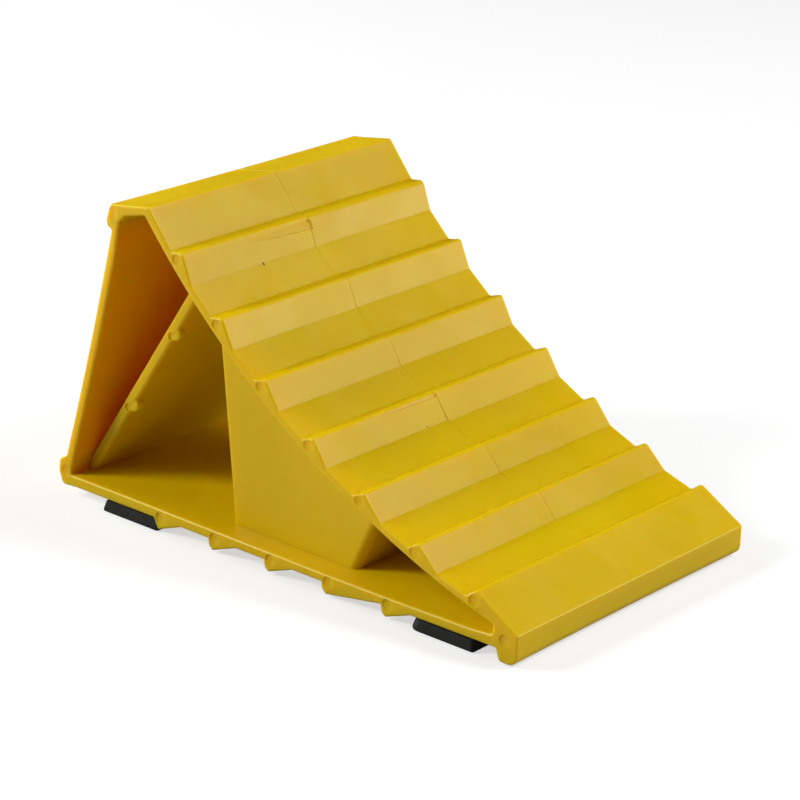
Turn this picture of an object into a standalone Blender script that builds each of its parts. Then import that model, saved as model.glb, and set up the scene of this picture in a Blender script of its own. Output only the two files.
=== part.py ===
"""Plastic wheel chock: one moulded body and four rubber ground pads.

+X points to the low nose, +Y across the width, +Z up. The floor is z = 0 and
the origin is under the middle of the bounding box.
"""
import math

import bmesh
import bpy

MM = 0.001

# overall
WIDTH = 120.0
NOSE_X = 100.4
REAR_X = -100.4

# tread: an arc about an axis above and ahead of the chock
TREAD_CX = 169.6
TREAD_CZ = 293.7
TREAD_R = 286.6
TOOTH_STEP = 5.0
FIRST_TOOTH = -137.4
TEETH = 7
TOOTH_DEPTH = 3.8
CREASE_TURN = 1.95
VALLEY_TURN = 0.6
WALL_TOP = 6.9
WALL_LOW = 5.9

# top plate and rear wall
TOP_FRONT = (-56.6, 112.0)
TOP_REAR = (-74.3, 109.5)
WALL_FOOT = (-96.4, 15.4)
WALL_HEAD = (-73.7, 100.6)
WALL_BOW = 0.65
WALL_T = 3.5

# base plate and the ratchet teeth under it
BASE_LOW = 4.5
BASE_TOP = 8.0
GRIP_TIP = 1.0
GRIP_STEP = 25.0
GRIP_FIRST = -52.0
GRIP_COUNT = 5
GRIP_RUN = 10.0
LONG_GRIP = 3
HEEL_X = 93.2
HEEL_LOW = 0.8

# brace and column stand back from the side faces by this much
INSET = 9.0

# brace
BRACE_MID = (-56.65, 65.0)
BRACE_ANGLE = 56.6
BRACE_T = 3.8
BRACE_BOSSES = ((-53.8, 67.4), (-73.5, 37.3))
BOSS_R = 2.6

# column
COLUMN_WALL = 3.2
COLUMN_REAR = (-25.4, -33.6, 79.5)
COLUMN_FRONT = (27.8, 38.5, 31.8)
POCKET_END = 90.5

# ejector marks
PIN_R = 2.0
PIN_DEPTH = 0.4

# ground pads
PAD_TOP = 4.2
PAD_WIDTH = 28.0
PAD_INSET = 0.7
REAR_PAD = (-78.4, -54.8)
FRONT_PAD = (59.4, 83.2)


def clear_scene():
    for obj in list(bpy.data.objects):
        bpy.data.objects.remove(obj, do_unlink=True)


def material(name, colour, roughness):
    mat = bpy.data.materials.new(name)
    mat.use_nodes = True
    shader = mat.node_tree.nodes["Principled BSDF"]
    shader.inputs["Base Color"].default_value = (*colour, 1.0)
    shader.inputs["Roughness"].default_value = roughness
    shader.inputs["Metallic"].default_value = 0.0
    return mat


def rounded(corners, step=22.5):
    """Corners are (x, z, radius); each turns into an arc of that radius."""
    out = []
    count = len(corners)
    for i in range(count):
        x, z, r = corners[i]
        ax, az, _ = corners[i - 1]
        bx, bz, _ = corners[(i + 1) % count]
        ux, uz = ax - x, az - z
        vx, vz = bx - x, bz - z
        ul, vl = math.hypot(ux, uz), math.hypot(vx, vz)
        ux, uz, vx, vz = ux / ul, uz / ul, vx / vl, vz / vl
        inner = math.acos(max(-1.0, min(1.0, ux * vx + uz * vz)))
        turn = math.pi - inner
        if r <= 0.0 or turn < math.radians(4.0):
            out.append((x, z))
            continue
        run = r * math.tan(turn / 2.0)
        run = min(run, 0.48 * ul, 0.48 * vl)
        r = run / math.tan(turn / 2.0)
        mx, mz = ux + vx, uz + vz
        ml = math.hypot(mx, mz)
        reach = r / math.cos(turn / 2.0)
        cx, cz = x + mx / ml * reach, z + mz / ml * reach
        start = math.atan2(z + uz * run - cz, x + ux * run - cx)
        end = math.atan2(z + vz * run - cz, x + vx * run - cx)
        sweep = (end - start + math.pi) % (2.0 * math.pi) - math.pi
        n = max(1, int(math.ceil(abs(math.degrees(sweep)) / step)))
        for k in range(n + 1):
            a = start + sweep * k / n
            out.append((cx + r * math.cos(a), cz + r * math.sin(a)))
    return out


def polar(r, degrees):
    a = math.radians(degrees)
    return TREAD_CX + r * math.cos(a), TREAD_CZ + r * math.sin(a)


def tread_turn(x, z):
    return math.degrees(math.atan2(z - TREAD_CZ, x - TREAD_CX))


def inner_radius(degrees):
    first = FIRST_TOOTH - 3.8
    last = FIRST_TOOTH + TOOTH_STEP * (TEETH - 1) - 1.0
    t = max(0.0, min(1.0, (degrees - first) / (last - first)))
    return TREAD_R + WALL_TOP + (WALL_LOW - WALL_TOP) * t


def inner_arc(start, end, count):
    """Underside of the tread between two turns, as points with no rounding."""
    out = []
    for k in range(count + 1):
        a = start + (end - start) * k / count
        x, z = polar(inner_radius(a), a)
        out.append((x, z, 0.0))
    return out


def wall_x(z, offset=0.0):
    """Outer face of the rear wall at height z; it bows in by WALL_BOW."""
    t = (z - WALL_FOOT[1]) / (WALL_HEAD[1] - WALL_FOOT[1])
    x = WALL_FOOT[0] + (WALL_HEAD[0] - WALL_FOOT[0]) * t
    bow = 4.0 * WALL_BOW * t * (1.0 - t) if 0.0 < t < 1.0 else 0.0
    return x + bow + offset


def brace_x(z, side):
    """Brace face at height z: side -1 is the rear face, +1 the front face."""
    a = math.radians(BRACE_ANGLE)
    mid = BRACE_MID[0] + (z - BRACE_MID[1]) / math.tan(a)
    return mid + side * 0.5 * BRACE_T / math.sin(a)


def column_rear_x(z, offset=0.0):
    low, high, top = COLUMN_REAR
    return low + (high - low) * (z - BASE_TOP) / (top - BASE_TOP) + offset


def column_front_x(z, offset=0.0):
    low, high, top = COLUMN_FRONT
    return low + (high - low) * (z - BASE_TOP) / (top - BASE_TOP) + offset


def meet_arc(face, side=0.0, low=20.0, high=110.0):
    """Height where a wall line meets the underside of the tread."""
    for _ in range(60):
        mid = 0.5 * (low + high)
        x = face(mid, side)
        turn = tread_turn(x, mid)
        inside = math.hypot(x - TREAD_CX, mid - TREAD_CZ) > inner_radius(turn)
        if inside:
            low = mid
        else:
            high = mid
    return low


def body_outline():
    pts = []
    # rear-bottom boss
    pts.append((WALL_FOOT[0], WALL_FOOT[1], 0.8))
    pts.append((-99.6, 13.5, 1.5))
    pts.append((REAR_X, 9.0, 4.0))
    pts.append((-98.5, 4.0, 2.2))
    pts.append((-91.8, BASE_LOW, 3.0))
    # ratchet teeth
    for k in range(GRIP_COUNT):
        tip = GRIP_FIRST + GRIP_STEP * k
        pts.append((tip - 2.4, BASE_LOW, 0.3))
        pts.append((tip - 2.0, 2.4, 1.6))
        pts.append((tip + 0.1, GRIP_TIP, 0.9))
        if k != LONG_GRIP:
            pts.append((tip + GRIP_RUN, BASE_LOW, 1.0))
    # heel and nose
    pts.append((HEEL_X - 1.2, BASE_LOW + 0.2, 0.8))
    pts.append((HEEL_X, HEEL_LOW, 2.6))
    pts.append((NOSE_X, HEEL_LOW, 3.4))
    pts.append((NOSE_X, 11.1, 0.8))
    # tread, nose to top
    for k in reversed(range(TEETH)):
        tip_turn = FIRST_TOOTH + TOOTH_STEP * k
        if k < TEETH - 1:
            x, z = polar(TREAD_R + TOOTH_DEPTH, tip_turn + CREASE_TURN)
            pts.append((x, z, 1.5))
        x, z = polar(TREAD_R, tip_turn)
        pts.append((x, z, 0.8))
        x, z = polar(TREAD_R + TOOTH_DEPTH, tip_turn - VALLEY_TURN)
        pts.append((x, z, 0.5))
    pts.append((*TOP_FRONT, 1.0))
    # top plate and rear-top boss
    pts.append((-69.5, 110.0, 0.0))
    pts.append((*TOP_REAR, 1.3))
    pts.append((-76.2, 103.5, 0.9))
    pts.append((*WALL_HEAD, 0.6))
    for k in range(1, 8):
        z = WALL_HEAD[1] + (WALL_FOOT[1] - WALL_HEAD[1]) * k / 8.0
        pts.append((wall_x(z), z, 0.0))
    return rounded(pts)


def inner_wall_x(z):
    return wall_x(z, WALL_T / math.cos(math.radians(14.9)))


def brace_notch():
    """Height where the brace's rear face meets the inside of the rear wall."""
    low, high = BASE_TOP, 60.0
    for _ in range(60):
        mid = 0.5 * (low + high)
        if brace_x(mid, -1.0) < inner_wall_x(mid):
            low = mid
        else:
            high = mid
    return low


def inner_space():
    """Outline of the whole inside, and how brace and column divide it.

    Returns the outline, the three passages and the two step faces (the ends of
    the brace and of the column) as lists of indices into the outline.
    """
    notch = brace_notch()
    brace_rear_top = meet_arc(brace_x, -1.0)
    brace_front_top = meet_arc(brace_x, 1.0)
    column_rear_top = meet_arc(column_rear_x)
    column_front_top = meet_arc(column_front_x, 0.0, 9.0, 60.0)
    turns = [tread_turn(-58.4, 108.5),
             tread_turn(brace_x(brace_rear_top, -1.0), brace_rear_top),
             tread_turn(brace_x(brace_front_top, 1.0), brace_front_top),
             tread_turn(column_rear_x(column_rear_top), column_rear_top),
             tread_turn(column_front_x(column_front_top), column_front_top),
             tread_turn(POCKET_END, 11.9)]
    arcs = []
    for k, count in enumerate((6, 1, 3, 16, 10)):
        arcs.append([(p[0], p[1]) for p in inner_arc(turns[k], turns[k + 1], count)])
    wall = [(inner_wall_x(z), z) for z in
            (notch + (103.5 - notch) * k / 8.0 for k in range(8))]
    corner = rounded([(*wall[-1], 0.0), (-70.2, 103.7, 1.0), (-67.6, 106.45, 1.0),
                      (*arcs[0][0], 0.6), (*arcs[0][1], 0.0)])[1:-1]
    brace_foot = (brace_x(BASE_TOP, 1.0), BASE_TOP)
    heel = rounded([(*brace_foot, 0.0), (inner_wall_x(BASE_TOP), BASE_TOP, 1.0),
                    (*wall[0], 0.0)])[1:-1]
    outline, marks = [], []
    for group in (wall, corner, arcs[0][1:], arcs[1][1:], arcs[2][1:], arcs[3][1:],
                  arcs[4][1:], [(POCKET_END, BASE_TOP)], [(COLUMN_FRONT[0], BASE_TOP)],
                  [(COLUMN_REAR[0], BASE_TOP)], [brace_foot], heel):
        outline.extend(group)
        marks.append(len(outline) - 1)
    (_, _, rear_top, front_top, column_a, column_b, _, _, front_foot, rear_foot,
     foot, end) = marks
    rear_upper = list(range(0, rear_top + 1))
    rear_lower = list(range(front_top, column_a + 1)) + [rear_foot, foot]
    pocket = list(range(column_b, front_foot + 1))
    brace_end = [rear_top, front_top] + list(range(foot, end + 1)) + [0]
    column_end = list(range(column_a, column_b + 1)) + [front_foot, rear_foot]
    return outline, (rear_upper, rear_lower, pocket), (brace_end, column_end)


def column_pocket():
    """Hollow of the column, open on the far side; it stays clear of the recess."""
    top = meet_arc(lambda z, s: column_rear_x(z, COLUMN_WALL))
    low = meet_arc(lambda z, s: column_front_x(z, -COLUMN_WALL), 0.0, 9.0, 60.0)
    a = tread_turn(column_rear_x(top, COLUMN_WALL), top)
    b = tread_turn(column_front_x(low, -COLUMN_WALL), low)
    floor = BASE_TOP + 0.05
    pts = [(column_rear_x(floor, COLUMN_WALL), floor, 1.2)]
    arc = []
    for x, z, r in inner_arc(a, b, 14):
        arc.append((x, z - 0.05, r))
    pts.append((arc[0][0], arc[0][1], 1.2))
    pts.extend(arc[1:-1])
    pts.append((arc[-1][0], arc[-1][1], 1.2))
    pts.append((column_front_x(floor, -COLUMN_WALL), floor, 1.2))
    return rounded(pts)


def link(name, bm):
    bmesh.ops.recalc_face_normals(bm, faces=bm.faces)
    mesh = bpy.data.meshes.new(name)
    bm.to_mesh(mesh)
    bm.free()
    obj = bpy.data.objects.new(name, mesh)
    bpy.context.scene.collection.objects.link(obj)
    return obj


def as_cutter(obj):
    obj.hide_render = True
    obj.display_type = "WIRE"
    return obj


def prism(name, outline, y0, y1):
    bm = bmesh.new()
    low = [bm.verts.new((x * MM, y0 * MM, z * MM)) for x, z in outline]
    high = [bm.verts.new((x * MM, y1 * MM, z * MM)) for x, z in outline]
    bm.faces.new(low)
    bm.faces.new(list(reversed(high)))
    count = len(outline)
    for i in range(count):
        j = (i + 1) % count
        bm.faces.new((low[j], low[i], high[i], high[j]))
    return link(name, bm)


def stepped_cutter(name):
    """Recess in each side, joined by the three passages beside brace and column."""
    outline, passages, steps = inner_space()
    side = 0.5 * WIDTH
    count = len(outline)
    bm = bmesh.new()

    def ring(y):
        return [bm.verts.new((x * MM, y * MM, z * MM)) for x, z in outline]

    near, near_shelf = ring(-side - 1.0), ring(INSET - side)
    far_shelf, far = ring(side - INSET), ring(side + 1.0)
    bm.faces.new(near)
    bm.faces.new(far)
    for a, b in ((near, near_shelf), (far_shelf, far)):
        for i in range(count):
            j = (i + 1) % count
            bm.faces.new((a[j], a[i], b[i], b[j]))
    for loop in steps:
        bm.faces.new([near_shelf[i] for i in loop])
        bm.faces.new([far_shelf[i] for i in loop])
    for loop in passages:
        for k in range(len(loop)):
            i, j = loop[k], loop[(k + 1) % len(loop)]
            bm.faces.new((near_shelf[j], near_shelf[i], far_shelf[i], far_shelf[j]))
    return link(name, bm)


def disc(name, x, z, r, y0, y1, segments=20):
    pts = []
    for k in range(segments):
        a = 2.0 * math.pi * (k + 0.5) / segments
        pts.append((x + r * math.cos(a), z + r * math.sin(a)))
    return prism(name, pts, y0, y1)


def joined(name, objs):
    bm = bmesh.new()
    for obj in objs:
        bm.from_mesh(obj.data)
        bpy.data.objects.remove(obj, do_unlink=True)
    return link(name, bm)


def apply_boolean(obj, other, operation):
    mod = obj.modifiers.new(other.name, "BOOLEAN")
    mod.operation = operation
    mod.solver = "EXACT"
    mod.object = other


def pin_marks():
    near = -0.5 * WIDTH
    spots = []
    for k in range(TEETH):
        spots.append(polar(TREAD_R + 4.0, FIRST_TOOTH + TOOTH_STEP * k + 0.2))
    for k in range(GRIP_COUNT):
        spots.append((GRIP_FIRST + GRIP_STEP * k + 1.6, 5.4))
    spots.append((-72.8, 106.4))
    spots.append((-96.6, 9.2))
    spots.append((95.6, 7.6))
    discs = []
    for k, (x, z) in enumerate(spots):
        part = disc("mark_%d" % k, x, z, PIN_R, near - 0.5, near + PIN_DEPTH)
        discs.append(part)
    return as_cutter(joined("cut_marks", discs))


def brace_bosses():
    shelf = INSET - 0.5 * WIDTH
    parts = []
    for k, (x, z) in enumerate(BRACE_BOSSES):
        parts.append(disc("boss_%d" % k, x, z, BOSS_R, shelf + 0.1, shelf + 3.0))
    return as_cutter(joined("add_bosses", parts))


def make_body():
    body = prism("chock_body", body_outline(), -0.5 * WIDTH, 0.5 * WIDTH)
    far = 0.5 * WIDTH - INSET + 1.0
    shelf = -0.5 * WIDTH + INSET + COLUMN_WALL
    cuts = [
        as_cutter(stepped_cutter("cut_inner")),
        as_cutter(prism("cut_column", column_pocket(), shelf, far)),
    ]
    for cut in cuts:
        apply_boolean(body, cut, "DIFFERENCE")
    apply_boolean(body, brace_bosses(), "UNION")
    apply_boolean(body, pin_marks(), "DIFFERENCE")
    return body


def make_pad(name, span, sign):
    """Rubber block with rounded upright corners and a softened lower rim."""
    x0, x1 = span
    y_out = sign * (0.5 * WIDTH - PAD_INSET)
    y_in = y_out - sign * PAD_WIDTH
    y0, y1 = min(y_out, y_in), max(y_out, y_in)
    bm = bmesh.new()
    rings = []
    for z, shrink in ((0.0, 0.5), (0.5, 0.0), (PAD_TOP, 0.0)):
        plan = rounded([(x0 + shrink, y0 + shrink, 1.6 - shrink),
                        (x1 - shrink, y0 + shrink, 1.6 - shrink),
                        (x1 - shrink, y1 - shrink, 1.6 - shrink),
                        (x0 + shrink, y1 - shrink, 1.6 - shrink)], 15.0)
        rings.append([bm.verts.new((x * MM, y * MM, z * MM)) for x, y in plan])
    bm.faces.new(rings[0])
    bm.faces.new(list(reversed(rings[-1])))
    for low, high in zip(rings, rings[1:]):
        count = len(low)
        for i in range(count):
            j = (i + 1) % count
            bm.faces.new((low[j], low[i], high[i], high[j]))
    return link(name, bm)


def main():
    clear_scene()
    plastic = material("yellow_plastic", (0.62, 0.38, 0.012), 0.42)
    rubber = material("black_rubber", (0.014, 0.015, 0.013), 0.75)
    body = make_body()
    body.data.materials.append(plastic)
    for name, span, sign in (("pad_rear_near", REAR_PAD, -1.0),
                             ("pad_rear_far", REAR_PAD, 1.0),
                             ("pad_front_near", FRONT_PAD, -1.0),
                             ("pad_front_far", FRONT_PAD, 1.0)):
        pad = make_pad(name, span, sign)
        pad.data.materials.append(rubber)


main()
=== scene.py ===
"""Wheel chock in the studio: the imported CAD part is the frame, and a moulded
body and four rubber pads with the real edges and marks stand for its nodes.

Lengths in the shape code are millimetres; +X is the low nose, +Z is up.
"""

import math

import bmesh
import bpy
import numpy as np
from mathutils import Matrix, Vector


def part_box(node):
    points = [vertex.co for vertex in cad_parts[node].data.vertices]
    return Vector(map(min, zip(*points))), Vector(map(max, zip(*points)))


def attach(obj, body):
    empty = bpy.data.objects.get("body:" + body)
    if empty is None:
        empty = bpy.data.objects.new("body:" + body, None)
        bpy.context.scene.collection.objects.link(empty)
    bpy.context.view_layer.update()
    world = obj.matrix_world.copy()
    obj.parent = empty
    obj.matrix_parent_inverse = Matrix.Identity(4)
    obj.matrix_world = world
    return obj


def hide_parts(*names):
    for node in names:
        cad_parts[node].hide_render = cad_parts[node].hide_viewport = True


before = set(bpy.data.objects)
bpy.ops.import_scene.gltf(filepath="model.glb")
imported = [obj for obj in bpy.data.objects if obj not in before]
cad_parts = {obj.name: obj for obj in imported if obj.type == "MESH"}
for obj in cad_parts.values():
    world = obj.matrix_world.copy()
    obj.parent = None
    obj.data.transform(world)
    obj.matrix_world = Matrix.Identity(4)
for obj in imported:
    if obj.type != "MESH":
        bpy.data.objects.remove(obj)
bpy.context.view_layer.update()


MM = 0.001

# ---------------------------------------------------------------- sizes, mm
BODY_LOW, BODY_HIGH = (tuple(v / MM for v in c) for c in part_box("chock_body"))
NEAR, FAR = BODY_LOW[1], BODY_HIGH[1]
NOSE_X = BODY_HIGH[0]

# Tread: the crests stand on a circle; turns are in degrees about its middle
TREAD_CX, TREAD_CZ, TREAD_R = 169.6, 293.7, 286.6
TOOTH_STEP = 5.0
FIRST_TOOTH = -137.4
TEETH = 7
TOOTH_DEPTH = 3.8
CREASE_TURN = 1.95
VALLEY_TURN = 0.6
# Each tooth towards the nose stands a little higher (mm) and further back (degrees)
CREST_RISE, VALLEY_RISE, CREASE_RISE, TOOTH_LAG = 0.13, 0.1, 0.04, 0.02
WALL_TOP, WALL_LOW = 6.9, 5.9
TOP_FRONT = (-56.6, 112.0)
TOP_REAR = (-74.3, 109.5)
WALL_FOOT = (-96.4, 15.4)
WALL_HEAD = (-73.7, 100.6)
WALL_BOW = 0.65
WALL_T = 3.5
WALL_LEAN = 14.9
BASE_LOW = 4.5
GRIP_STEP = 25.0
GRIP_FIRST = -52.0
GRIP_COUNT = 5
GRIP_TIP = 1.0
GRIP_RUN = 10.0
LONG_GRIP = 3
HEEL_X, HEEL_LOW = 93.2, 0.8
INSET = 9.0
BRACE_MID = (-56.65, 65.0)
BRACE_ANGLE = math.radians(56.6)
BRACE_T = 3.8
BRACE_BOSSES = ((-53.8, 67.4, -55.0, 66.1), (-73.5, 37.3, -75.4, 35.7))
COLUMN_WALL = 3.2
COLUMN_REAR = (-25.4, -33.6, 79.5)
COLUMN_FRONT = (27.8, 38.5, 31.8)
FOOT_Z = 8.0
POCKET_END = 90.5
SHELF, FAR_SHELF = NEAR + INSET, FAR - INSET

SIDE_ROUND = 0.75
HOLLOW_ROUND = 0.8
# Rounds where the insets' ends turn into the passages: column rear and front,
# brace rear and front
END_ROUNDS = (0.8, 3.2, 0.6, 1.5)
# The same where each passage begins: rear, middle and front
PASSAGE_ROUNDS = (0.8, 1.5, 3.2)
PANEL_FILLET = 1.3
ARC_STEP = 15.0
ROUND_SIDES = 28
# Ejector marks: below each crest and ahead of it in degrees, on the last tooth, from each
# grip's tip, and on the lip, the rear foot and the nose
MARK_DROP, MARK_TURN = 3.45, 0.12
LAST_TOOTH_MARK = (83.3, 17.9)
GRIP_MARK = (0.9, 5.1)
OTHER_MARKS = [(-72.8, 106.4), (-96.6, 9.2), (95.6, 8.0)]
# One mark: depth into the side, radius and shift along X
MARK_STEPS = ((-0.5, 2.5, 0.0), (-0.02, 2.32, 0.0), (0.1, 2.08, -0.1), (0.26, 1.7, -0.35),
              (0.4, 1.2, -0.7), (0.45, 0.7, -1.0))

# Camera at the photograph's angle: lens and sensor in mm, place in m, right and back
LENS, SENSOR = 130.9, 36.0
CAMERA_AT = (0.58253, -0.69386, 0.38462)
CAMERA_RIGHT = (0.75964, 0.64976, 0.02743)
CAMERA_BACK = (0.60125, -0.71776, 0.35117)
# Stage, in m: what the lamps aim at and from how far, the floor's side and parts, and the
# height of the veil's walls
LAMP_TARGET, LAMP_DISTANCE = (0.0, 0.0, 0.05), 1.5
FLOOR_SIZE, FLOOR_PARTS, VEIL_WALL = 6.0, 12, 3.0
# Softboxes: name, turn from the near side and height in degrees, side in m, watts
STUDIO = (("left_front", 318.0, 32.0, 0.4, 14.5), ("left_mid", 285.0, 40.0, 0.5, 1.6),
          ("front", 350.0, 46.0, 0.45, 1.5), ("left_low", 271.0, 4.0, 0.5, 26.0),
          ("right_high", 125.0, 46.0, 0.5, 14.4), ("right_low", 135.0, 13.0, 0.6, 5.5))
# Sinks beside the parting line: y, upper edge, lower edge and depth
SINK_TOP = ((-30.2, 2.5, 2.75, 0.03), (-26.0, 2.1, 3.3, 0.14), (-20.0, 1.6, 3.85, 0.26),
            (-12.0, 1.4, 4.25, 0.36), (-5.0, 1.35, 4.6, 0.44), (-0.45, 1.3, 4.8, 0.48))
SINK_LOW = ((-28.0, 0.5, 0.8, 0.02), (-20.0, 0.3, 1.3, 0.12), (-8.0, 0.25, 1.5, 0.18),
            (-0.4, 0.2, 1.6, 0.2))
# Curls of flash: which mark, start and sweep in degrees, distance from its middle, height
FLASH_CURLS = ((6, 195.0, 112.0, 2.7, 0.75), (3, 228.0, 55.0, 2.5, 0.45),
               (4, 205.0, 80.0, 2.5, 0.4), (12, 210.0, 80.0, 2.45, 0.35))
FLASH_PARTS = 14
# Bead of plastic at the parting line: y and radius; the notch there: y and depth
BEAD_STEPS = ((-0.55, 0.1), (-0.4, 0.42), (-0.1, 0.62), (0.25, 0.66), (0.6, 0.5), (0.8, 0.15))
NOTCH_STEPS = ((-0.6, 0.35), (-0.1, 0.55), (0.5, 0.5), (1.1, 0.08))
# Dark flecks in the plastic: centre and half size
SPECKS = (((-37.15, -26.0, 89.6), (0.7, 0.45, 1.0)), ((11.3, 26.2, 50.3), (0.4, 0.4, 0.4)),
          ((21.9, -10.4, 44.0), (0.35, 0.35, 0.35)), ((-80.9, -42.7, 60.2), (0.6, 0.4, 0.4)),
          ((-77.1, -54.7, 74.2), (0.6, 0.35, 0.35)))


# ------------------------------------------------------------ flat outlines
def rounded(corners, step=ARC_STEP):
    """Corners are (x, z, radius); each turns into an arc of that radius."""
    out = []
    count = len(corners)
    for i in range(count):
        x, z, r = corners[i]
        ax, az, _ = corners[i - 1]
        bx, bz, _ = corners[(i + 1) % count]
        ux, uz, vx, vz = ax - x, az - z, bx - x, bz - z
        ul, vl = math.hypot(ux, uz), math.hypot(vx, vz)
        ux, uz, vx, vz = ux / ul, uz / ul, vx / vl, vz / vl
        turn = math.pi - math.acos(max(-1.0, min(1.0, ux * vx + uz * vz)))
        if r <= 0.0 or turn < math.radians(4.0):
            out.append((x, z))
            continue
        run = min(r * math.tan(turn / 2.0), 0.48 * ul, 0.48 * vl)
        r = run / math.tan(turn / 2.0)
        mx, mz = ux + vx, uz + vz
        reach = r / math.cos(turn / 2.0) / math.hypot(mx, mz)
        cx, cz = x + mx * reach, z + mz * reach
        start = math.atan2(z + uz * run - cz, x + ux * run - cx)
        end = math.atan2(z + vz * run - cz, x + vx * run - cx)
        sweep = (end - start + math.pi) % (2.0 * math.pi) - math.pi
        n = max(1, int(math.ceil(math.degrees(turn) / step)))
        for k in range(n + 1):
            a = start + sweep * k / n
            out.append((cx + r * math.cos(a), cz + r * math.sin(a)))
    return out


def grown(corners, d):
    """The outline with every side moved out by d, and its radii to suit."""
    corners = [c if len(c) == 3 else (*c, 0.0) for c in corners]
    count = len(corners)
    area = 0.0
    for i in range(count):
        x, z, _ = corners[i]
        bx, bz, _ = corners[(i + 1) % count]
        area += x * bz - bx * z
    side = 1.0 if area > 0.0 else -1.0
    out = []
    for i in range(count):
        x, z, r = corners[i]
        ax, az, _ = corners[i - 1]
        bx, bz, _ = corners[(i + 1) % count]
        ul, vl = math.hypot(x - ax, z - az), math.hypot(bx - x, bz - z)
        ux, uz, vx, vz = (x - ax) / ul, (z - az) / ul, (bx - x) / vl, (bz - z) / vl
        nx, nz = (uz + vz) * side, -(ux + vx) * side
        k = d / (1.0 + ux * vx + uz * vz)
        convex = (ux * vz - uz * vx) * side > 0.0
        if r > 0.0:
            r = max(0.06, r + d if convex else r - d)
        out.append((x + nx * k, z + nz * k, r))
    return out


def flat(corners):
    return [(c[0], c[1]) for c in corners]


def polar(r, degrees):
    a = math.radians(degrees)
    return TREAD_CX + r * math.cos(a), TREAD_CZ + r * math.sin(a)


def tread_turn(x, z):
    return math.degrees(math.atan2(z - TREAD_CZ, x - TREAD_CX))


def inner_radius(degrees):
    first = FIRST_TOOTH - 3.8
    last = FIRST_TOOTH + TOOTH_STEP * (TEETH - 1) - 1.0
    t = max(0.0, min(1.0, (degrees - first) / (last - first)))
    return TREAD_R + WALL_TOP + (WALL_LOW - WALL_TOP) * t


def inner_arc(start, end, count):
    """Underside of the tread between two turns."""
    turns = [start + (end - start) * k / count for k in range(count + 1)]
    return [polar(inner_radius(a), a) for a in turns]


def wall_x(z, offset=0.0):
    t = (z - WALL_FOOT[1]) / (WALL_HEAD[1] - WALL_FOOT[1])
    bow = 4.0 * WALL_BOW * t * (1.0 - t) if 0.0 < t < 1.0 else 0.0
    return WALL_FOOT[0] + (WALL_HEAD[0] - WALL_FOOT[0]) * t + bow + offset


def brace_x(z, side):
    """Brace at height z: side -1 is the rear face, 0 the middle, +1 the front."""
    mid = BRACE_MID[0] + (z - BRACE_MID[1]) / math.tan(BRACE_ANGLE)
    return mid + side * 0.5 * BRACE_T / math.sin(BRACE_ANGLE)


def leaning(line):
    low, high, top = line
    return lambda z, offset=0.0: low + (high - low) * (z - FOOT_Z) / (top - FOOT_Z) + offset


column_rear_x = leaning(COLUMN_REAR)
column_front_x = leaning(COLUMN_FRONT)


def meet_arc(face, low=20.0, high=110.0):
    """Height where a wall line meets the underside of the tread."""
    for _ in range(60):
        mid = 0.5 * (low + high)
        x = face(mid)
        if math.hypot(x - TREAD_CX, mid - TREAD_CZ) > inner_radius(tread_turn(x, mid)):
            low = mid
        else:
            high = mid
    return low


def floor_z(x):
    """Top of the base plate: it sags a little between its walls."""
    return float(np.interp(x, (-95.0, -60.0, -25.0, 24.0, 60.0, 82.0, 90.5),
                           (8.5, 8.35, 8.0, 7.6, 7.75, 8.1, 8.7)))


def body_outline(near_half):
    """Outside of the moulding. The two mould halves differ by a few tenths."""
    slip = 0.05 if near_half else -0.05
    pts = [(*WALL_FOOT, 0.9), (-99.6, 13.5, 1.6), (BODY_LOW[0] - 0.15, 9.0, 4.0),
           (-98.5, 4.0, 2.2), (-91.8, BASE_LOW, 3.0)]
    for k in range(GRIP_COUNT):
        tip = GRIP_FIRST + GRIP_STEP * k
        pts += [(tip - 2.35, BASE_LOW, 0.3), (tip - 2.0, 2.1, 1.3),
                (tip - 0.3, GRIP_TIP - 0.3, 0.7)]
        if k != LONG_GRIP:
            pts.append((tip + GRIP_RUN, BASE_LOW, 1.2))
    pts += [(HEEL_X - 1.2, BASE_LOW + 0.2, 0.8), (HEEL_X, HEEL_LOW - 0.3, 1.9),
            (NOSE_X, HEEL_LOW - 0.2, 5.0), (NOSE_X, 11.1, 0.8)]
    for k in reversed(range(TEETH)):
        turn = FIRST_TOOTH + TOOTH_STEP * k
        if k < TEETH - 1:
            late = 0.10 if (near_half and k == 3) else 0.0
            pts.append((*polar(TREAD_R + TOOTH_DEPTH - CREASE_RISE * k,
                               turn + CREASE_TURN - late), 1.6))
        crest = 2.2 if k == 0 and not near_half else 1.35
        turn -= TOOTH_LAG * k
        pts.append((*polar(TREAD_R - slip - CREST_RISE * k, turn), crest))
        pts.append((*polar(TREAD_R + TOOTH_DEPTH - slip - VALLEY_RISE * k,
                           turn - VALLEY_TURN), 1.3))
    pts += [(*TOP_FRONT, 1.0), (-69.5, 110.0, 0.0), (*TOP_REAR, 2.0),
            (-76.2, 103.5, 1.0), (-75.6, 101.6, 0.8), (*WALL_HEAD, 0.6)]
    for k in range(1, 8):
        z = WALL_HEAD[1] + (WALL_FOOT[1] - WALL_HEAD[1]) * k / 8.0
        pts.append((wall_x(z), z, 0.0))
    return pts


def inner_wall_x(z):
    return wall_x(z, WALL_T / math.cos(math.radians(WALL_LEAN)))


def brace_notch(shift):
    """Height where the brace's rear face meets the inside of the rear wall."""
    low, high = 8.0, 60.0
    for _ in range(60):
        mid = 0.5 * (low + high)
        if brace_x(mid, -1.0) + shift < inner_wall_x(mid):
            low = mid
        else:
            high = mid
    return low


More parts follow.
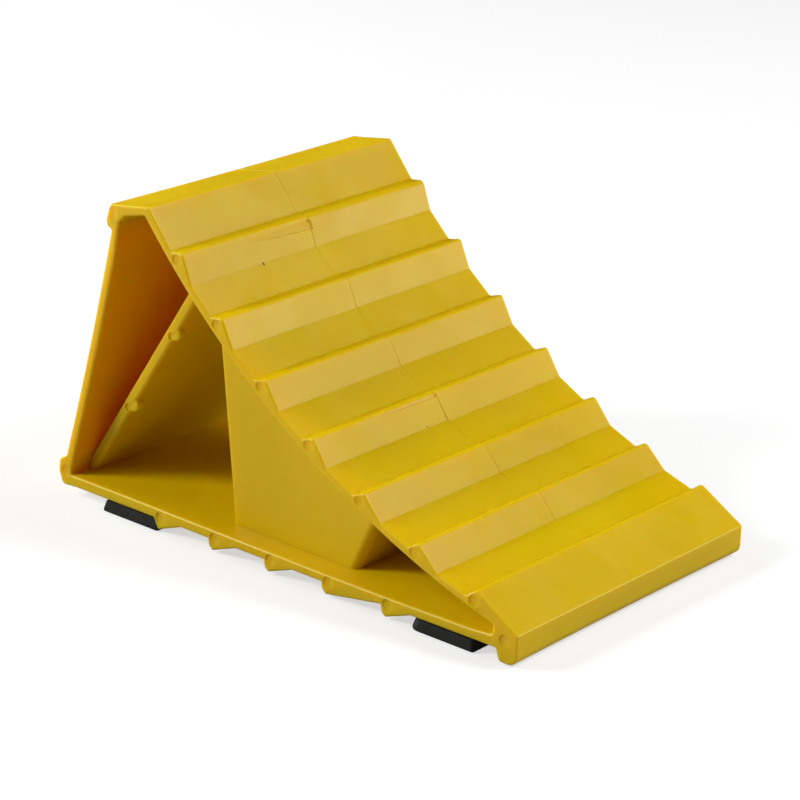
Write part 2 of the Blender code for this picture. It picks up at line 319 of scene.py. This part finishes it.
def inner_space(shifts):
    """Outline of the whole inside, and how brace and column divide it.

    Shifts move the column's rear and front faces and the brace's rear and front
    faces into their solids. Returns the outline, the three passages and the ends
    of the brace and of the column as lists of its points.
    """
    rear_x = lambda z: column_rear_x(z, shifts[0])
    front_x = lambda z: column_front_x(z, -shifts[1])
    back_x = lambda z: brace_x(z, -1.0) + shifts[2]
    fore_x = lambda z: brace_x(z, 1.0) - shifts[3]
    notch = brace_notch(shifts[2])
    turns = [tread_turn(-58.4, 108.5)]
    for face, low, high in ((back_x, 20.0, 110.0), (fore_x, 20.0, 110.0),
                            (rear_x, 20.0, 110.0), (front_x, 9.0, 60.0)):
        z = meet_arc(face, low, high)
        turns.append(tread_turn(face(z), z))
    turns.append(tread_turn(POCKET_END, 11.9))
    arcs = [inner_arc(turns[k], turns[k + 1], count)
            for k, count in enumerate((8, 2, 4, 20, 12))]
    wall = [(inner_wall_x(z), z) for z in
            (notch + (103.4 - notch) * k / 9.0 for k in range(9))]
    corner = rounded([(*wall[-1], 0.0), (-70.2, 103.6, 1.4), (-67.6, 106.4, 1.4),
                      (*arcs[0][0], 0.8), (*arcs[0][1], 0.0)])[1:-1]
    end = rounded([(*arcs[4][-2], 0.0), (*arcs[4][-1], 0.5),
                   (POCKET_END, floor_z(POCKET_END), 0.7), (60.0, floor_z(60.0), 0.0)])[1:-1]
    floor = [(x, floor_z(x)) for x in (82.0, 71.0, 60.0, 48.0)]
    foot_f = (front_x(FOOT_Z), floor_z(front_x(FOOT_Z)))
    foot_r = (rear_x(FOOT_Z), floor_z(rear_x(FOOT_Z)))
    back = [(x, floor_z(x)) for x in (-40.0, -60.0, -75.0)]
    foot_b = (fore_x(8.4), floor_z(-91.0))
    heel = rounded([(*foot_b, 0.0), (inner_wall_x(8.4), floor_z(-94.0), 1.2),
                    (*wall[0], 0.0)])[1:-1]
    outline, marks = [], []
    for group in (wall, corner, arcs[0][1:], arcs[1][1:], arcs[2][1:], arcs[3][1:],
                  arcs[4][1:-1], end, floor, [foot_f], [foot_r], back, [foot_b], heel):
        outline += group
        marks.append(len(outline) - 1)
    passages = (list(range(marks[2] + 1)),
                list(range(marks[3], marks[4] + 1)) + list(range(marks[10], marks[12] + 1)),
                list(range(marks[5], marks[9] + 1)))
    brace_end = list(range(marks[2], marks[3] + 1)) + list(range(marks[12], len(outline))) + [0]
    column_end = list(range(marks[4], marks[5] + 1)) + [marks[9], marks[10]]
    return outline, passages, brace_end, column_end


def column_pocket():
    """Hollow of the column, open on the far side; it stays clear of the recess."""
    rear_x = lambda z: column_rear_x(z, COLUMN_WALL)
    front_x = lambda z: column_front_x(z, -COLUMN_WALL)
    top = meet_arc(rear_x)
    low = meet_arc(front_x, 9.0, 60.0)
    arc = [(x, z - 0.06) for x, z in
           inner_arc(tread_turn(rear_x(top), top), tread_turn(front_x(low), low), 14)]
    floor = FOOT_Z + 0.12
    pts = [(rear_x(floor), floor, 1.2), (*arc[0], 1.2)]
    pts += [(*p, 0.0) for p in arc[1:-1]]
    pts += [(*arc[-1], 1.2), (front_x(floor), floor, 1.2)]
    return rounded(pts)


# ------------------------------------------------------------- solid makers
def link(name, bm):
    bmesh.ops.recalc_face_normals(bm, faces=bm.faces)
    mesh = bpy.data.meshes.new(name)
    bm.to_mesh(mesh)
    bm.free()
    obj = bpy.data.objects.new(name, mesh)
    bpy.context.scene.collection.objects.link(obj)
    return obj


def ring_of(bm, points, y):
    return [bm.verts.new((x * MM, y * MM, z * MM)) for x, z in points]


def bridge(bm, a, b):
    count = len(a)
    for i in range(count):
        j = (i + 1) % count
        bm.faces.new((a[j], a[i], b[i], b[j]))


def loft(bm, rings, end_cap=True):
    """rings are (y, points) from one side to the other."""
    made = [ring_of(bm, points, y) for y, points in rings]
    bm.faces.new(made[0])
    if end_cap:
        bm.faces.new(list(reversed(made[-1])))
    for a, b in zip(made, made[1:]):
        bridge(bm, a, b)
    return made


def quarter(radius, count=4):
    """(out, in) pairs of a quarter round, from the face to the wall."""
    out = []
    for k in range(count + 1):
        a = 0.5 * math.pi * k / count
        out.append((radius * (1.0 - math.sin(a)), radius * (1.0 - math.cos(a))))
    return out


def flare(points, radius, face, inward, outside=1.0):
    """Rings of a cutter that leaves a rounded rim where it breaks a side face."""
    rings = [(face - inward * outside, flat(grown(points, radius + 0.4))),
             (face - inward * 0.03, flat(grown(points, radius + 0.4)))]
    for out, deep in [(radius * 0.805, radius * 0.0192)] + quarter(radius)[1:]:
        rings.append((face + inward * deep, flat(grown(points, out))))
    return rings


def pocket_cutter(name, points, start):
    bm = bmesh.new()
    loft(bm, [(start, flat(grown(points, -1.0))), (start + 0.3, flat(grown(points, -0.3))),
              (start + 1.0, points), (FAR_SHELF - 0.5, points),
              (FAR_SHELF - 0.1, flat(grown(points, 0.4))),
              (FAR_SHELF + 0.4, flat(grown(points, 0.45)))])
    return link(name, bm)


def recess(bm, face, inward, fillet):
    """Rounded mouth of the recess down to the ends of brace and column."""
    shelf = face + inward * INSET
    outline, _, brace_end, column_end = inner_space(END_ROUNDS)
    last = loft(bm, flare(outline, HOLLOW_ROUND, face, inward), end_cap=False)[-1]
    inset = set(column_end[1:-3])
    for k in range(5):
        a = 0.5 * math.pi * k / 4
        tight = grown(outline, -fillet * (1.0 - math.cos(a)))
        points = [tight[i][:2] if i in inset else p for i, p in enumerate(outline)]
        ring = ring_of(bm, points, shelf - inward * fillet * (1.0 - math.sin(a)))
        bridge(bm, last, ring)
        last = ring
    bm.faces.new([last[i] for i in brace_end])
    bm.faces.new([last[i] for i in column_end])
    return last


def inner_cutter(name):
    """A recess in each side, joined by the passages beside brace and column."""
    bm = bmesh.new()
    near = recess(bm, NEAR, 1.0, PANEL_FILLET)
    far = recess(bm, FAR, -1.0, PANEL_FILLET)
    passages = inner_space(END_ROUNDS)[1]
    for number, indices in enumerate(passages):
        radius = PASSAGE_ROUNDS[number]
        ends = []
        for start, shelf, inward in ((near, SHELF, 1.0), (far, FAR_SHELF, -1.0)):
            ring = [start[i] for i in indices]
            for out_r, deep_r in quarter(1.0, 6)[1:]:
                moved = inner_space([r * out_r for r in END_ROUNDS])[0]
                nxt = ring_of(bm, [moved[i] for i in indices],
                              shelf + inward * radius * deep_r)
                bridge(bm, ring, nxt)
                ring = nxt
            ends.append(ring)
        bridge(bm, *ends)
    return link(name, bm)


def circle(x, z, r, segments=ROUND_SIDES):
    turns = (2.0 * math.pi * (k + 0.5) / segments for k in range(segments))
    return [(x + r * math.cos(a), z + r * math.sin(a)) for a in turns]


def round_stack(bm, x, z, steps, segments=ROUND_SIDES):
    """A round solid on a Y axis; steps are (y, radius)."""
    return loft(bm, [(y, circle(x, z, r, segments)) for y, r in steps])


def mark_spots():
    """Middles of the ejector marks: teeth from the rear, grips, lip, rear foot, nose."""
    spots = [polar(TREAD_R + MARK_DROP - CREST_RISE * k,
                   FIRST_TOOTH + TOOTH_STEP * k + MARK_TURN - 1.5 * TOOTH_LAG * k)
             for k in range(TEETH - 1)]
    spots.append(LAST_TOOTH_MARK)
    spots += [(GRIP_FIRST + GRIP_STEP * k + GRIP_MARK[0], GRIP_MARK[1])
              for k in range(GRIP_COUNT)]
    return spots + OTHER_MARKS


def marks_cutter(name):
    """Ejector marks: shallow round dents in the near side face, steep on the left."""
    bm = bmesh.new()
    for x, z in mark_spots():
        loft(bm, [(NEAR + deep, circle(x + shift, z - 0.4 * shift, r))
                  for deep, r, shift in MARK_STEPS])
    return link(name, bm)


def bosses(name):
    """Short round pads on the near end of the brace."""
    bm = bmesh.new()
    for x, z, _, _ in BRACE_BOSSES:
        round_stack(bm, x, z, [(SHELF + 0.1, 1.6), (SHELF + 0.18, 2.1), (SHELF + 0.45, 2.5),
                               (SHELF + 0.9, 2.6), (SHELF + 2.7, 2.6), (SHELF + 3.0, 2.5),
                               (SHELF + 3.15, 2.2)])
    return link(name, bm)


def boss_marks_cutter(name):
    """Ejector mark in each boss."""
    bm = bmesh.new()
    for _, _, x, z in BRACE_BOSSES:
        round_stack(bm, x, z, [(SHELF - 0.5, 1.5), (SHELF + 0.12, 1.42), (SHELF + 0.6, 1.25)],
                    20)
    return link(name, bm)


def facet_point(k, along, rise):
    """Point on the steep facet of tooth k: mm below its crest, mm above the facet."""
    turn = FIRST_TOOTH + TOOTH_STEP * k
    ax, az = polar(TREAD_R, turn)
    bx, bz = polar(TREAD_R + TOOTH_DEPTH, turn + CREASE_TURN)
    length = math.hypot(bx - ax, bz - az)
    ux, uz = (bx - ax) / length, (bz - az) / length
    return ax + ux * along - uz * rise, az + uz * along + ux * rise


def sink_cutter(name, k, steps):
    """Wedge under a crest of the near half, deepest at its lower edge.

    Steps are (y, upper edge, lower edge, depth).
    """
    bm = bmesh.new()
    rings = []
    for y, high, low, deep in steps:
        wide = low - high
        rings.append((y, [facet_point(k, high, 0.04), facet_point(k, high - 0.2, 1.5),
                          facet_point(k, low + 0.4, 1.5), facet_point(k, low, 0.04),
                          facet_point(k, low - 0.06 * wide, -0.75 * deep),
                          facet_point(k, low - 0.14 * wide, -deep),
                          facet_point(k, low - 0.55 * wide, -0.66 * deep)]))
    loft(bm, rings)
    return link(name, bm)


def flash(name):
    """Curls of thin flash that stand out of the near side at some ejector marks."""
    bm = bmesh.new()
    spots = mark_spots()
    for index, start, sweep, reach, high in FLASH_CURLS:
        x, z = spots[index]
        rings = []
        for i in range(FLASH_PARTS + 1):
            t = i / FLASH_PARTS
            a = math.radians(start + sweep * t)
            swell = math.sin(math.pi * min(0.97, max(0.03, t))) ** 0.6
            wave = 0.12 * math.sin(5.0 * t * math.pi + index)
            section = []
            for dr, dy in ((-0.2, 0.25), (-0.16, -0.55 * high), (0.02, -high), (0.2, -0.5 * high),
                           (0.26, 0.25)):
                r = reach + wave + dr * (0.35 + 0.65 * swell)
                y = NEAR + (dy * swell if dy < 0.0 else dy)
                section.append(bm.verts.new(((x + r * math.cos(a)) * MM, y * MM,
                                             (z + r * math.sin(a)) * MM)))
            rings.append(section)
        bm.faces.new(rings[0])
        bm.faces.new(list(reversed(rings[-1])))
        for p, q in zip(rings, rings[1:]):
            bridge(bm, p, q)
    return link(name, bm)


def parting_bead(name):
    """Small bead on the parting line, just below the first crest."""
    x, z = facet_point(0, 1.3, 0.0)
    bm = bmesh.new()
    round_stack(bm, x, z, BEAD_STEPS, 14)
    return link(name, bm)


def parting_notch(name):
    """Notch across the parting line, where the first tooth's sink ends."""
    bm = bmesh.new()
    loft(bm, [(y, [facet_point(0, 0.2, 1.2), facet_point(0, 4.9, 1.2),
                   facet_point(0, 4.7, -deep), facet_point(0, 2.6, -deep),
                   facet_point(0, 0.9, -0.6 * deep)])
              for y, deep in NOTCH_STEPS])
    return link(name, bm)


def bake(obj):
    """Put the shape that the modifiers give into the object's own mesh."""
    dg = bpy.context.evaluated_depsgraph_get()
    mesh = bpy.data.meshes.new_from_object(obj.evaluated_get(dg))
    obj.modifiers.clear()
    old = obj.data
    obj.data = mesh
    bpy.data.meshes.remove(old)


def cut(obj, other, operation="DIFFERENCE"):
    mod = obj.modifiers.new(other.name, "BOOLEAN")
    mod.operation = operation
    mod.solver = "EXACT"
    mod.object = other
    bake(obj)
    bpy.data.objects.remove(other, do_unlink=True)


def body_block(name):
    near_half, far_half = body_outline(True), body_outline(False)
    bm = bmesh.new()
    rings = [(NEAR + deep, rounded(grown(near_half, -out))) for out, deep in quarter(SIDE_ROUND)]
    near_plan, far_plan = rounded(near_half), rounded(far_half)
    for y in (-52.0, -42.0, -32.0, -22.0, -12.0, -5.0, -0.17):
        rings.append((y, near_plan))
    for y, plan, half in ((-0.03, near_plan, near_half), (0.04, far_plan, far_half)):
        sunk = rounded(grown(half, -0.2))
        rings.append((y, [a if a[0] > 70.0 else b for a, b in zip(plan, sunk)]))
    for y in (0.15, 5.0, 12.0, 22.0, 32.0, 42.0, 52.0):
        rings.append((y, far_plan))
    rings += [(FAR - deep, rounded(grown(far_half, -out)))
              for out, deep in reversed(quarter(SIDE_ROUND))]
    loft(bm, rings)
    return link(name, bm)


def warp(obj):
    """Moulding errors, all under a millimetre.

    The top plate and the toe sink at mid-width, the far ends of the upper crests rise,
    and the parting line wanders.
    """
    mesh = obj.data
    co = np.zeros(len(mesh.vertices) * 3)
    mesh.vertices.foreach_get("co", co)
    co = co.reshape(-1, 3) / MM
    x, y, z = co.T.copy()
    across = 1.0 - (y / 60.0) ** 2
    top = np.clip((z - 99.0) / 10.0, 0.0, 1.0) * np.clip((-58.0 - x) / 14.0, 0.0, 1.0)
    co[:, 2] -= 0.27 * across * top
    toe = np.clip((x - 92.0) / 6.0, 0.0, 1.0) * np.clip((7.0 - z) / 5.0, 0.0, 1.0)
    co[:, 0] -= 0.35 * across * toe
    dx, dz = x - TREAD_CX, z - TREAD_CZ
    reach = np.hypot(dx, dz)
    crest = np.clip(1.0 - (reach - TREAD_R) / TOOTH_DEPTH, 0.0, 1.0) * (z < 104.0)
    upper = np.clip((60.0 - x) / 44.0, 0.0, 1.0)
    lift = 0.6 * crest * np.clip(y / 60.0, 0.0, 1.0) ** 1.5 * upper
    co[:, 0] -= lift * dx / reach
    co[:, 2] -= lift * dz / reach
    seam = np.clip(1.0 - (np.abs(y) - 0.25) / 3.0, 0.0, 1.0)
    co[:, 1] += seam * (0.28 * np.sin(x * 0.23 + 1.0) + 0.14 * np.sin(x * 0.71 + z * 0.3))
    mesh.vertices.foreach_set("co", (co * MM).ravel())
    mesh.update()


def finish_mesh(obj, angle=38.0):
    bm = bmesh.new()
    bm.from_mesh(obj.data)
    bmesh.ops.remove_doubles(bm, verts=bm.verts, dist=0.000001)
    bmesh.ops.dissolve_degenerate(bm, edges=bm.edges, dist=0.000001)
    bmesh.ops.triangulate(bm, faces=[f for f in bm.faces if len(f.verts) > 4])
    bmesh.ops.recalc_face_normals(bm, faces=bm.faces)
    bm.to_mesh(obj.data)
    bm.free()
    obj.data.shade_smooth()
    obj.data.set_sharp_from_angle(angle=math.radians(angle))
    mod = obj.modifiers.new("weighted", "WEIGHTED_NORMAL")
    mod.mode = "FACE_AREA"
    mod.weight = 60
    mod.keep_sharp = True
    mod.thresh = 0.01
    bake(obj)


def make_body():
    body = body_block("moulded_body")
    cut(body, marks_cutter("c_marks"))
    cut(body, sink_cutter("c_sink", 0, SINK_TOP))
    cut(body, sink_cutter("c_sink_low", 3, SINK_LOW))
    cut(body, parting_notch("c_notch"))
    cut(body, parting_bead("c_bead"), "UNION")
    cut(body, flash("c_flash"), "UNION")
    cut(body, inner_cutter("c_inner"))
    cut(body, bosses("c_bosses"), "UNION")
    cut(body, boss_marks_cutter("c_boss_marks"))
    cut(body, pocket_cutter("c_column", column_pocket(), SHELF + COLUMN_WALL))
    warp(body)
    finish_mesh(body)
    return body


def make_pad(name, node):
    """Rubber pad whose ends flare towards the ground; a front pad's rear corners are round.

    Each ring says its height, and how far it passes the CAD pad's rear end, front end
    and sides.
    """
    low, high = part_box(node)
    x0, y0, z0 = (v / MM for v in low)
    x1, y1, z1 = (v / MM for v in high)
    bm = bmesh.new()
    rings = []
    rear = x0 < 0.0
    for z, back, ahead, side in ((z0, -0.1, 1.6, 0.45), (z0 + 0.12, 0.1, 2.2, 0.7),
                                 (z0 + 0.4, 0.15, 2.5, 0.85), (z0 + 1.1, 0.0, 2.5, 0.9),
                                 (z0 + 1.8, -0.3, 2.3, 0.9), (z0 + 3.0, -0.8, 1.8, 0.85),
                                 (z1 - 0.1, -1.3, 1.6, 0.8), (z1, -1.5, 1.4, 0.6)):
        corner = 1.0
        if not rear:
            corner, side, ahead, back = 3.6, side - 0.25, min(0.1, ahead - 2.0), back + 2.0
        a0, a1, b0, b1 = x0 - back, x1 + ahead, y0 - side, y1 + side
        plan = rounded([(a0, b0, corner), (a1, b0, 0.8), (a1, b1, 0.8), (a0, b1, corner)], 18.0)
        sides = []
        for i, (px, py) in enumerate(plan):
            qx, qy = plan[(i + 1) % len(plan)]
            parts = 8 if math.hypot(qx - px, qy - py) > 5.0 else 1
            sides += [(px + (qx - px) * k / parts, py + (qy - py) * k / parts)
                      for k in range(parts)]
        rings.append([bm.verts.new((x * MM, y * MM, z * MM)) for x, y in sides])
    bm.faces.new(rings[0])
    bm.faces.new(list(reversed(rings[-1])))
    for a, b in zip(rings, rings[1:]):
        bridge(bm, a, b)
    pad = link(name, bm)
    finish_mesh(pad, 50.0)
    return pad


# --------------------------------------------------------------- materials
class Tree:
    """Short ways to add and join shader nodes."""

    def __init__(self, name):
        self.mat = bpy.data.materials.new(name)
        self.mat.use_nodes = True
        self.nodes = self.mat.node_tree.nodes
        self.links = self.mat.node_tree.links
        self.shader = self.nodes["Principled BSDF"]

    def add(self, kind, **values):
        node = self.nodes.new(kind)
        for key, value in values.items():
            self.put(node, key.replace("_", " "), value)
        return node

    def put(self, node, key, value):
        socket = node.inputs[key]
        if isinstance(value, bpy.types.NodeSocket):
            self.links.new(value, socket)
        else:
            socket.default_value = value

    def math(self, operation, a, b=0.0, c=None):
        node = self.nodes.new("ShaderNodeMath")
        node.operation = operation
        for i, value in enumerate((a, b, c)):
            if value is not None:
                self.put(node, i, value)
        return node.outputs[0]

    def place(self, scale=(1.0, 1.0, 1.0), shift=(0.0, 0.0, 0.0), turn=(0.0, 0.0, 0.0)):
        coord = self.nodes.new("ShaderNodeTexCoord")
        mapping = self.add("ShaderNodeMapping", Scale=scale, Location=shift, Rotation=turn)
        self.links.new(coord.outputs["Object"], mapping.inputs["Vector"])
        return mapping.outputs[0]

    def noise(self, scale, detail=3.0, vector=None, rough=0.5, distortion=0.0):
        node = self.add("ShaderNodeTexNoise", Scale=scale, Detail=detail, Roughness=rough,
                        Distortion=distortion, Vector=vector or self.place())
        return node.outputs["Fac"]

    def spread(self, value, low, high, to_low=0.0, to_high=1.0):
        node = self.nodes.new("ShaderNodeMapRange")
        for i, v in enumerate((value, low, high, to_low, to_high)):
            self.put(node, i, v)
        return node.outputs[0]

    def mix(self, factor, a, b, blend="MIX"):
        node = self.nodes.new("ShaderNodeMix")
        node.data_type = "RGBA"
        node.blend_type = blend
        for key, value in ((0, factor), (6, a), (7, b)):
            self.put(node, key, value)
        return node.outputs[2]

    def spot(self, centre, size):
        """1 inside a small uneven spot, 0 outside; centre and size in mm."""
        coord = self.nodes.new("ShaderNodeTexCoord").outputs["Object"]
        blot = self.add("ShaderNodeTexNoise", Scale=1300.0, Detail=1.0, Vector=coord)
        gap = self.nodes.new("ShaderNodeVectorMath")
        gap.operation = "SUBTRACT"
        self.links.new(coord, gap.inputs[0])
        gap.inputs[1].default_value = [v * MM for v in centre]
        scaled = self.nodes.new("ShaderNodeVectorMath")
        scaled.operation = "DIVIDE"
        self.links.new(gap.outputs[0], scaled.inputs[0])
        scaled.inputs[1].default_value = [v * MM for v in size]
        length = self.nodes.new("ShaderNodeVectorMath")
        length.operation = "LENGTH"
        self.links.new(scaled.outputs[0], length.inputs[0])
        edge = self.math("MULTIPLY_ADD", blot.outputs["Fac"], 0.8, length.outputs["Value"])
        return self.spread(edge, 1.0, 1.5, 1.0, 0.0)

    def bump(self, height, distance, strength=1.0, normal=None):
        node = self.add("ShaderNodeBump", Strength=strength, Distance=distance, Height=height)
        if normal is not None:
            self.links.new(normal, node.inputs["Normal"])
        return node.outputs[0]


def yellow_plastic():
    """Polypropylene: glows orange through thin walls; the gloss comes in patches."""
    t = Tree("yellow_plastic_moulded")
    broad = t.noise(24.0, 3.0)
    fine = t.noise(420.0, 4.0)
    colour = t.mix(t.spread(broad, 0.35, 0.65), (0.71, 0.475, 0.0, 1.0),
                   (0.76, 0.515, 0.0, 1.0))
    colour = t.mix(t.spread(fine, 0.3, 0.7, 0.0, 0.10), colour, (0.67, 0.43, 0.0, 1.0))
    for centre, size in SPECKS:
        colour = t.mix(t.spot(centre, size), colour, (0.1, 0.05, 0.01, 1.0))
    t.put(t.shader, "Base Color", colour)
    patches = t.spread(t.noise(38.0, 4.0, rough=0.6), 0.38, 0.66, 0.0, 1.0)
    streaks = t.spread(t.noise(9.0, 4.0, t.place((1.0, 9.0, 9.0))), 0.4, 0.65, 0.0, 1.0)
    gloss = t.math("MULTIPLY_ADD", streaks, 0.04, t.spread(patches, 0.0, 1.0, 0.29, 0.42))
    t.put(t.shader, "Roughness", gloss)
    t.shader.inputs["Subsurface Weight"].default_value = 0.75
    t.shader.inputs["Subsurface Radius"].default_value = (1.0, 0.55, 0.04)
    t.shader.inputs["Subsurface Scale"].default_value = 0.006
    t.shader.inputs["Specular IOR Level"].default_value = 0.3
    soft = t.bump(t.noise(45.0, 2.0), 0.0006, 0.5)
    t.put(t.shader, "Normal", t.bump(t.noise(1500.0, 3.0), 0.00002, 0.5, soft))
    return t.mat


def black_rubber():
    t = Tree("black_rubber_moulded")
    grain = t.noise(1400.0, 5.0)
    colour = t.mix(t.spread(t.noise(90.0, 4.0), 0.35, 0.7), (0.007, 0.008, 0.007, 1.0),
                   (0.016, 0.017, 0.014, 1.0))
    t.put(t.shader, "Base Color", colour)
    t.put(t.shader, "Roughness", t.spread(grain, 0.3, 0.7, 0.55, 0.8))
    t.shader.inputs["Specular IOR Level"].default_value = 0.4
    t.put(t.shader, "Normal", t.bump(grain, 0.00008, 0.7))
    return t.mat


def studio_white():
    t = Tree("studio_floor")
    t.put(t.shader, "Base Color", t.mix(t.spread(t.noise(6.0, 2.0), 0.3, 0.7),
                                        (0.42, 0.42, 0.42, 1.0), (0.44, 0.44, 0.44, 1.0)))
    t.shader.inputs["Roughness"].default_value = 0.8
    t.shader.inputs["Specular IOR Level"].default_value = 0.1
    t.shader.inputs["Emission Color"].default_value = (1.0, 1.0, 1.0, 1.0)
    t.shader.inputs["Emission Strength"].default_value = 0.02
    return t.mat


# -------------------------------------------------------------------- scene
def add_camera():
    cam = bpy.data.cameras.new("photo_camera")
    cam.lens = LENS
    cam.sensor_width = SENSOR
    cam.clip_start = 0.01
    obj = bpy.data.objects.new("photo_camera", cam)
    bpy.context.scene.collection.objects.link(obj)
    right = Vector(CAMERA_RIGHT).normalized()
    back = Vector(CAMERA_BACK).normalized()
    up = back.cross(right).normalized()
    right = up.cross(back)
    axes = Matrix((right, up, back)).transposed().to_4x4()
    obj.matrix_world = Matrix.Translation(CAMERA_AT) @ axes
    bpy.context.scene.camera = obj


def add_softbox(name, turn, lift, size, power):
    """Square area light that shines on the middle of the chock."""
    lamp = bpy.data.lights.new(name, "AREA")
    lamp.shape = "SQUARE"
    lamp.size = size
    lamp.energy = power
    obj = bpy.data.objects.new(name, lamp)
    bpy.context.scene.collection.objects.link(obj)
    a, e = math.radians(turn), math.radians(lift)
    direction = Vector((math.sin(a) * math.cos(e), -math.cos(a) * math.cos(e), math.sin(e)))
    obj.location = Vector(LAMP_TARGET) + direction * LAMP_DISTANCE
    obj.rotation_euler = direction.to_track_quat("Z", "Y").to_euler()


def studio_glow():
    """Thin veil over the floor that lifts its white without lighting the object."""
    mat = bpy.data.materials.new("studio_glow")
    mat.use_nodes = True
    nodes, links = mat.node_tree.nodes, mat.node_tree.links
    nodes.clear()
    out = nodes.new("ShaderNodeOutputMaterial")
    add = nodes.new("ShaderNodeAddShader")
    clear = nodes.new("ShaderNodeBsdfTransparent")
    light = nodes.new("ShaderNodeEmission")
    light.inputs["Strength"].default_value = 0.6
    links.new(clear.outputs[0], add.inputs[0])
    links.new(light.outputs[0], add.inputs[1])
    links.new(add.outputs[0], out.inputs["Surface"])
    return mat


def add_floor():
    """Plain floor, and the veil, whose four far walls close the view at the horizon."""
    for name, z, wall, mat in (("studio_floor", -0.0002, 0.0, studio_white()),
                               ("studio_veil", -0.0001, VEIL_WALL, studio_glow())):
        bm = bmesh.new()
        line = [FLOOR_SIZE * (i / FLOOR_PARTS - 0.5) for i in range(FLOOR_PARTS + 1)]
        grid = [[bm.verts.new((x, y, z)) for x in line] for y in line]
        for j in range(FLOOR_PARTS):
            for i in range(FLOOR_PARTS):
                bm.faces.new((grid[j][i], grid[j][i + 1], grid[j + 1][i + 1], grid[j + 1][i]))
        if wall:
            foot = [grid[0][0], grid[0][-1], grid[-1][-1], grid[-1][0]]
            head = [bm.verts.new(v.co + Vector((0.0, 0.0, wall))) for v in foot]
            for k in range(4):
                bm.faces.new((foot[k - 1], foot[k], head[k], head[k - 1]))
        obj = link(name, bm)
        obj.data.materials.append(mat)
    veil = obj
    for ray in ("diffuse", "glossy", "transmission", "shadow", "volume_scatter"):
        setattr(veil, "visible_" + ray, False)


def add_light():
    world = bpy.data.worlds.new("studio")
    world.use_nodes = True
    world.node_tree.nodes["Background"].inputs["Color"].default_value = (1.0, 1.0, 1.0, 1.0)
    world.node_tree.nodes["Background"].inputs["Strength"].default_value = 0.02
    bpy.context.scene.world = world
    for name, turn, lift, size, power in STUDIO:
        add_softbox(name, turn, lift, size, power)


bpy.context.scene.view_settings.view_transform = "Standard"
add_camera()
add_floor()
add_light()

body = make_body()
body.data.materials.clear()
body.data.materials.append(yellow_plastic())
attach(body, "root")
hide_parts("chock_body")

rubber = black_rubber()
for node in ("pad_rear_near", "pad_rear_far", "pad_front_near", "pad_front_far"):
    pad = make_pad("rubber_" + node, node)
    pad.data.materials.append(rubber)
    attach(pad, "root")
    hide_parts(node)
